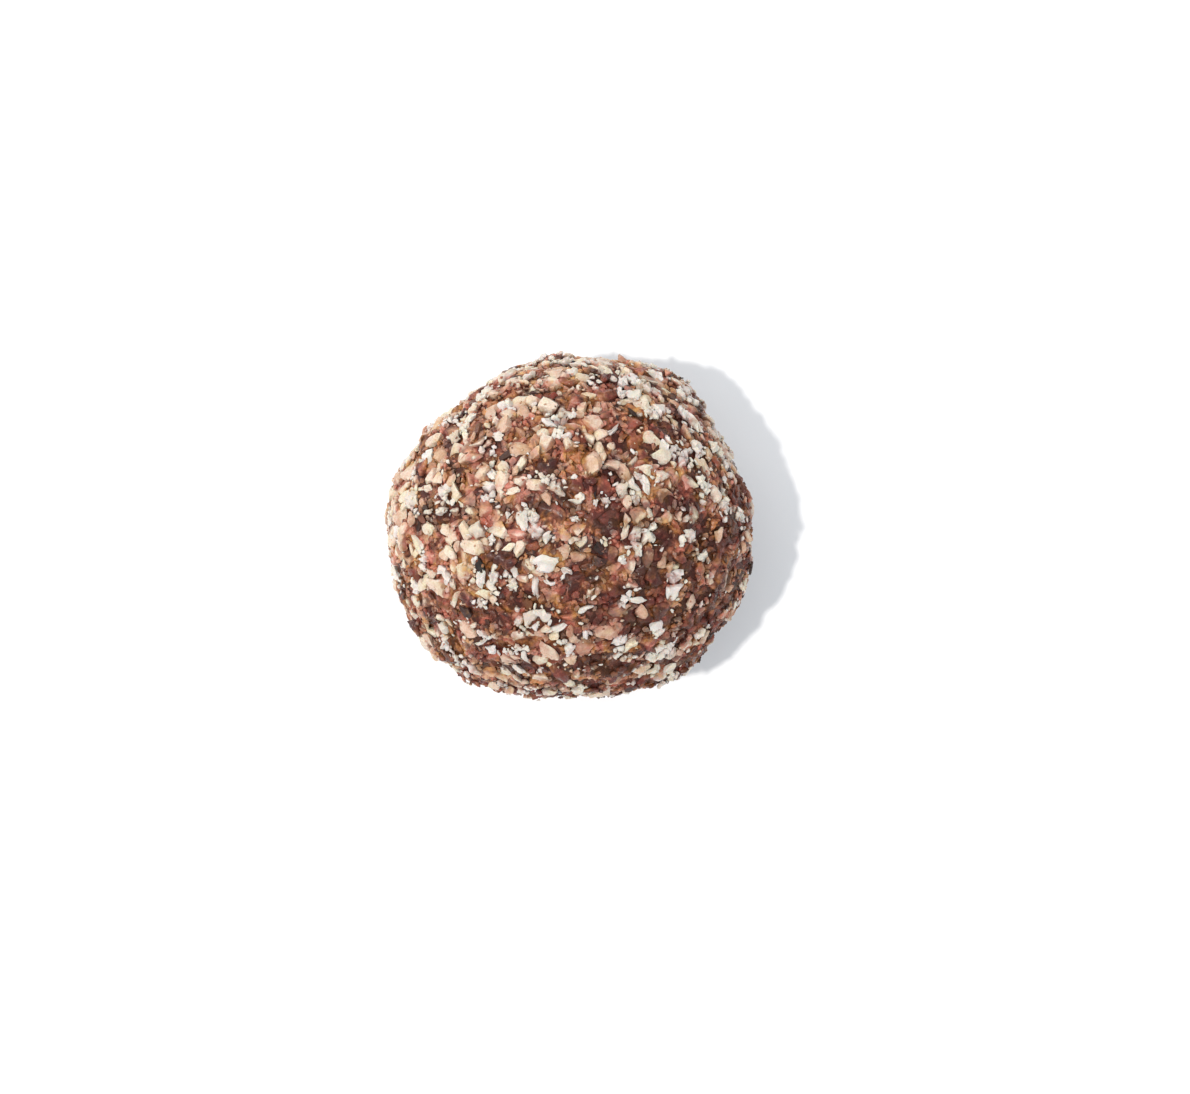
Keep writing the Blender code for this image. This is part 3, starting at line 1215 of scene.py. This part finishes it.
# the table, the light and the camera
setting = {
    "floorSize": 40.0,
    "floorColour": (0.80, 0.80, 0.805),
    "skyColour": (0.91, 0.955, 1.0),
    "skyStrength": (0.52, 1.27),  # at the horizon and right above
    "keyElevation": 71.0,
    "keyAzimuth": 201,
    "keyColour": (1.0, 0.965, 0.92),
    "keyStrength": 2.08,
    "keyWidth": 2.5,
    "fillElevation": 12,
    "fillAzimuth": 138,
    "fillColour": (1.0, 0.97, 0.94),
    "fillStrength": 1.5,
    "fillWidth": 50,  # degrees, as the key light's
    "cameraElevation": 86,
    "lens": 100,
    "sensorWidth": 36,
    "nearest": 0.01,
    "viewWidth": 129.7 * mm,  # what the picture shows from side to side, at the ball
    "aside": (2.76 * mm, -2.38 * mm),  # how far it looks past the ball, rightward and upward
}


def makeFloor():
    half = setting["floorSize"] / 2
    corners = [(-half, -half, 0), (half, -half, 0), (half, half, 0), (-half, half, 0)]
    mesh = bpy.data.meshes.new("paleFloor")
    mesh.from_pydata(corners, [], [(0, 1, 2, 3)])
    material = bpy.data.materials.new("paleFloor")
    material.use_nodes = True
    shader = material.node_tree.nodes["Principled BSDF"]
    shader.inputs["Base Color"].default_value = (*setting["floorColour"], 1)
    shader.inputs["Roughness"].default_value = 1.0
    shader.inputs["Specular IOR Level"].default_value = 0.0
    mesh.materials.append(material)
    floor = bpy.data.objects.new("paleFloor", mesh)
    bpy.context.scene.collection.objects.link(floor)


# a far light of the given width in degrees that shines from an azimuth and an elevation
def makeSun(name):
    azimuth, elevation = setting[name + "Azimuth"], setting[name + "Elevation"]
    lamp = bpy.data.lights.new(name + "Light", "SUN")
    lamp.color = setting[name + "Colour"]
    lamp.energy = setting[name + "Strength"]
    lamp.angle = math.radians(setting[name + "Width"])
    sun = bpy.data.objects.new(name + "Light", lamp)
    sun.rotation_euler = (math.radians(90 - elevation), 0, math.radians(azimuth + 90))
    bpy.context.scene.collection.objects.link(sun)


# a sky that grows brighter with the sine of the height above the horizon
def makeSky():
    world = bpy.data.worlds.new("softSky")
    world.use_nodes = True
    background = world.node_tree.nodes["Background"]
    background.inputs["Color"].default_value = (*setting["skyColour"], 1)
    start = Value(world.node_tree)
    aim = start.node("ShaderNodeTexCoord", {}, {}, "Generated")
    height = start.node("ShaderNodeSeparateXYZ", {}, {"Vector": aim}, "Z")
    horizon, above = setting["skyStrength"]
    height = start.maths("MAXIMUM", height, 0.0)
    strength = horizon + (above - horizon) * height
    world.node_tree.links.new(strength.socket, background.inputs["Strength"])
    bpy.context.scene.world = world


# the camera stands on the side of -Y, high up, and looks at the middle of the frame's box
def makeCamera():
    elevation = math.radians(setting["cameraElevation"])
    away = setting["viewWidth"] * setting["lens"] / setting["sensorWidth"]
    across, up = setting["aside"]
    middle = (np.array(cadBox[0]) + np.array(cadBox[1])) / 2
    back = np.array([0, -math.cos(elevation), math.sin(elevation)])
    upward = np.array([0, math.sin(elevation), math.cos(elevation)])
    lens = bpy.data.cameras.new("camera")
    lens.lens = setting["lens"]
    lens.sensor_width = setting["sensorWidth"]
    lens.clip_start = setting["nearest"]
    camera = bpy.data.objects.new("camera", lens)
    camera.location = middle + back * away + upward * up + np.array([across, 0, 0])
    camera.rotation_euler = (math.radians(90 - setting["cameraElevation"]), 0, 0)
    bpy.context.scene.collection.objects.link(camera)
    bpy.context.scene.camera = camera


makeFloor()
makeSun("key")
makeSun("fill")
makeSky()
makeCamera()
bpy.context.scene.view_settings.view_transform = "Standard"
print("stage set")
